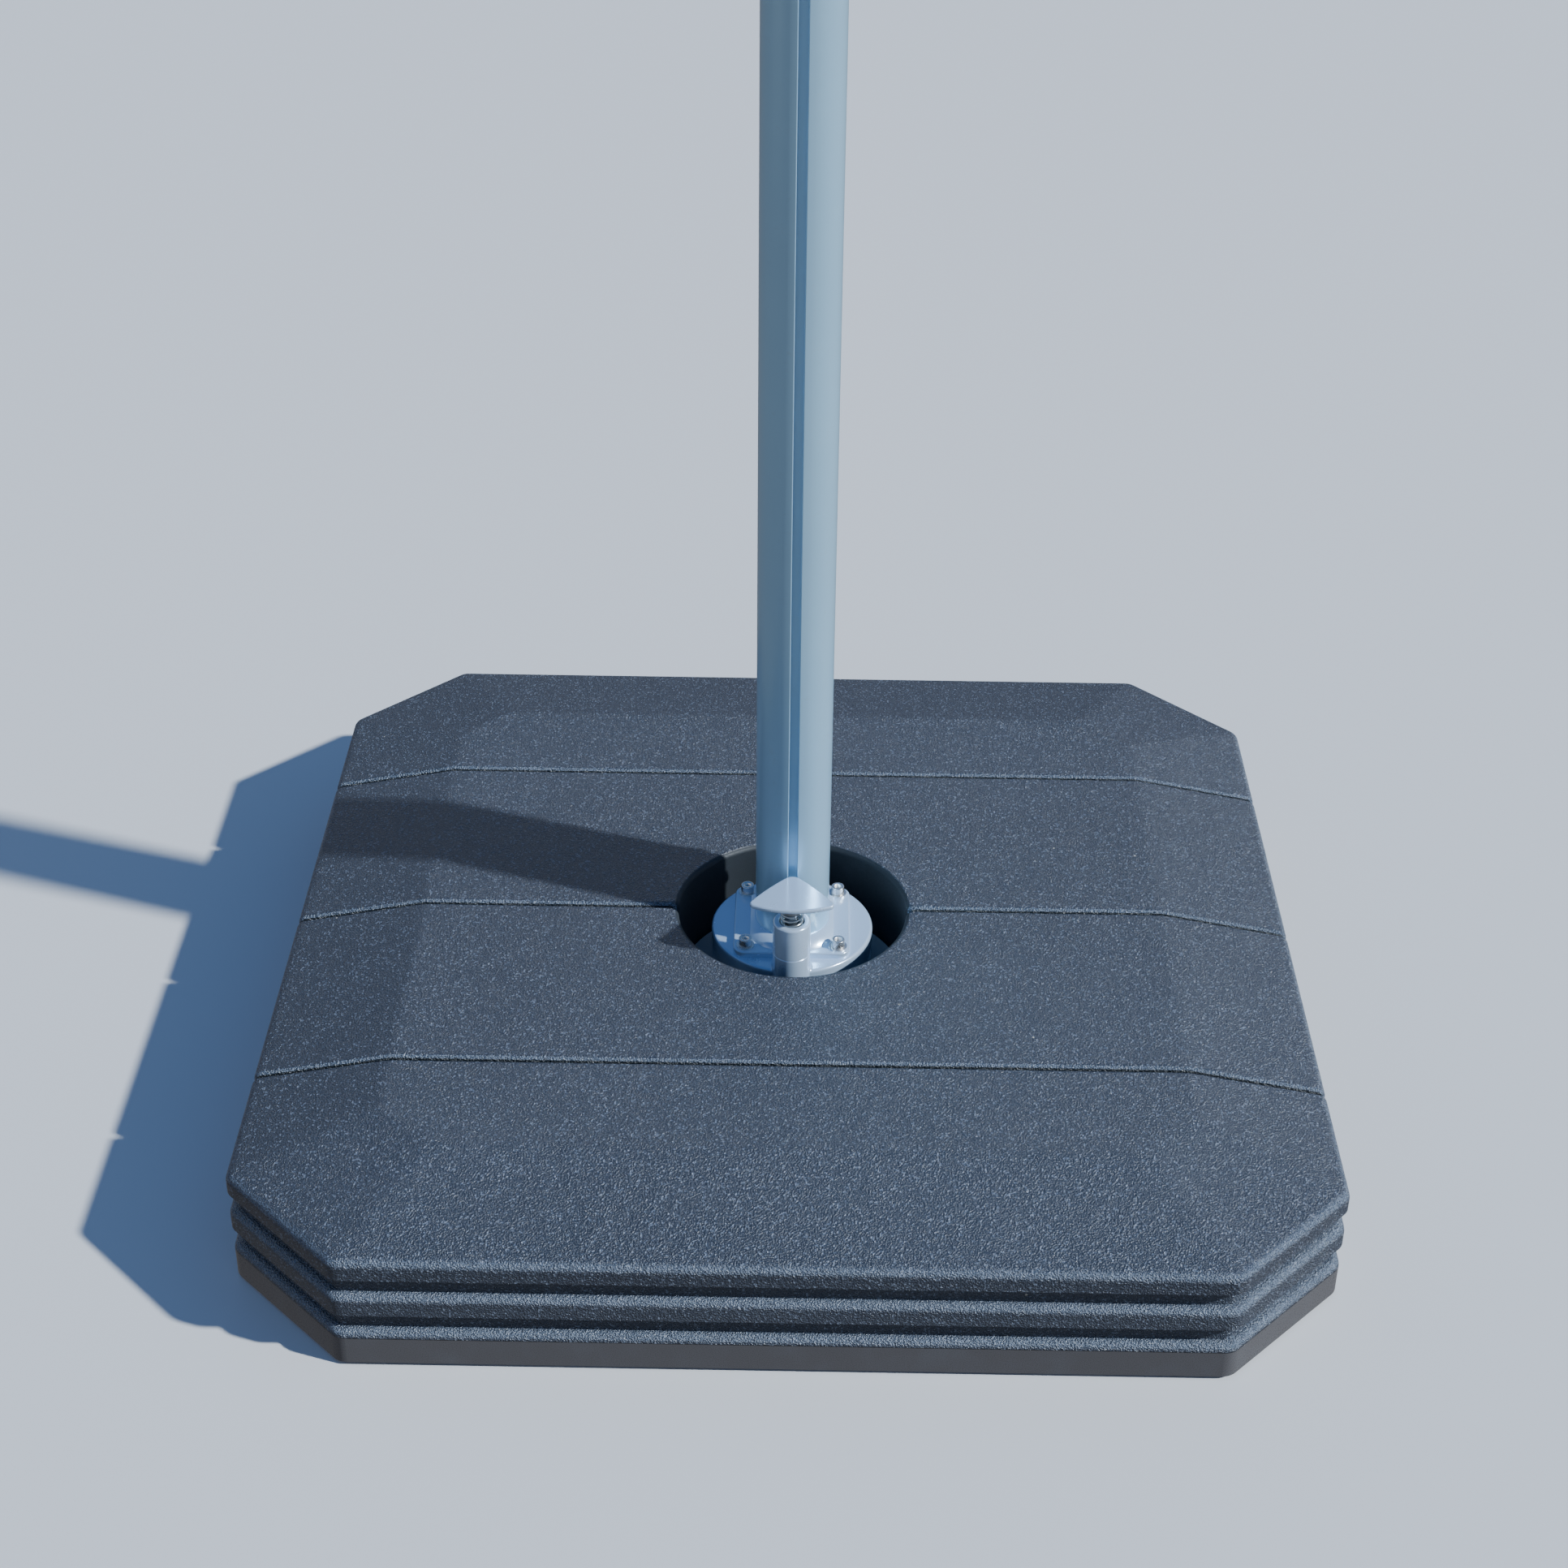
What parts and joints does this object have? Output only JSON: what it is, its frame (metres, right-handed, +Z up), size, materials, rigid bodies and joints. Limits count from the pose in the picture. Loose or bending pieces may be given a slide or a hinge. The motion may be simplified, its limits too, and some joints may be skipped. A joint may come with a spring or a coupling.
{
  "type": "parasol base with rotating mast foot",
  "caption": "Weighted cantilever parasol base: ballast slabs on a steel cross foot, with a pedal-released turntable carrying a grooved mast.",
  "frame": {"origin": "on the ground, under the mast's axis at the middle of the base", "axes": "+Z up along the mast, -Y towards the pedal, +X to the right of a person who faces the pedal, along the seams of the slabs"},
  "size_m": [1, 1, 1.243],
  "materials": {
    "slab_plastic": "moulded anthracite plastic with a fine pebbled grain",
    "ballast": "cast concrete, sealed inside the shells",
    "plug_plastic": "black moulded plastic",
    "foot_paint": "light grey powder coat on steel",
    "rubber": "matt black rubber",
    "zinc_steel": "zinc plated steel",
    "ground_steel": "ground steel",
    "bronze": "plain bearing bronze",
    "hub_paint": "light grey semi-gloss powder coat on cast aluminium",
    "stainless": "polished stainless steel",
    "mast_paint": "light grey satin powder coat on extruded aluminium",
    "liner_plastic": "dark moulded plastic",
    "spring_steel": "zinc plated spring wire",
    "stem_steel": "turned steel",
    "friction_lining": "bonded friction lining"
  },
  "bodies": {
    "base": {"front_slab_shell": "slab_plastic", "front_slab_fill": "ballast", "front_slab_plugs": "plug_plastic", "front_middle_slab_shell": "slab_plastic", "front_middle_slab_fill": "ballast", "front_middle_slab_plugs": "plug_plastic", "rear_middle_slab_shell": "slab_plastic", "rear_middle_slab_fill": "ballast", "rear_middle_slab_plugs": "plug_plastic", "rear_slab_shell": "slab_plastic", "rear_slab_fill": "ballast", "rear_slab_plugs": "plug_plastic", "long_arm": "foot_paint", "rear_left_arm": "foot_paint", "front_right_arm": "foot_paint", "hub_plate": "foot_paint", "arm_end_caps": "plug_plastic", "rubber_feet": "rubber", "hub_pillar": "zinc_steel", "pillar_bolts": "zinc_steel", "brake_disc": "ground_steel", "brake_disc_screws": "zinc_steel", "spindle": "zinc_steel", "spindle_nut": "zinc_steel", "bearing_lower_race": "ground_steel", "bearing_balls": "ground_steel", "bearing_cage": "bronze"},
    "turntable": {"turntable_housing": "hub_paint", "bearing_upper_race": "ground_steel", "spindle_bush": "bronze", "spindle_washer": "zinc_steel", "mast_flange": "hub_paint", "flange_washers": "stainless", "flange_screws": "stainless", "mast": "mast_paint", "mast_screws": "stainless", "mast_top_liner": "liner_plastic", "pedal_sleeve": "hub_paint", "stem_guide": "liner_plastic", "pedal_spring": "spring_steel"},
    "pedal": {"pedal_plate": "hub_paint", "pedal_stem": "stem_steel", "stem_collar": "zinc_steel", "brake_claw": "zinc_steel", "friction_pad": "friction_lining", "stem_nut": "zinc_steel"}
  },
  "joints": [
    {"name": "mast_turn", "type": "hinge", "parent": "base", "child": "turntable", "pos_m": [0, 0, 0.11], "axis": [0, 0, 1], "continuous": true},
    {"name": "pedal_press", "type": "slide", "parent": "turntable", "child": "pedal", "axis": [0, 0, 1], "range_m": [-0.01, 0], "stiffness_N_per_m": 3000, "springref_m": 0.02, "deforming": ["pedal_spring"]}
  ]
}
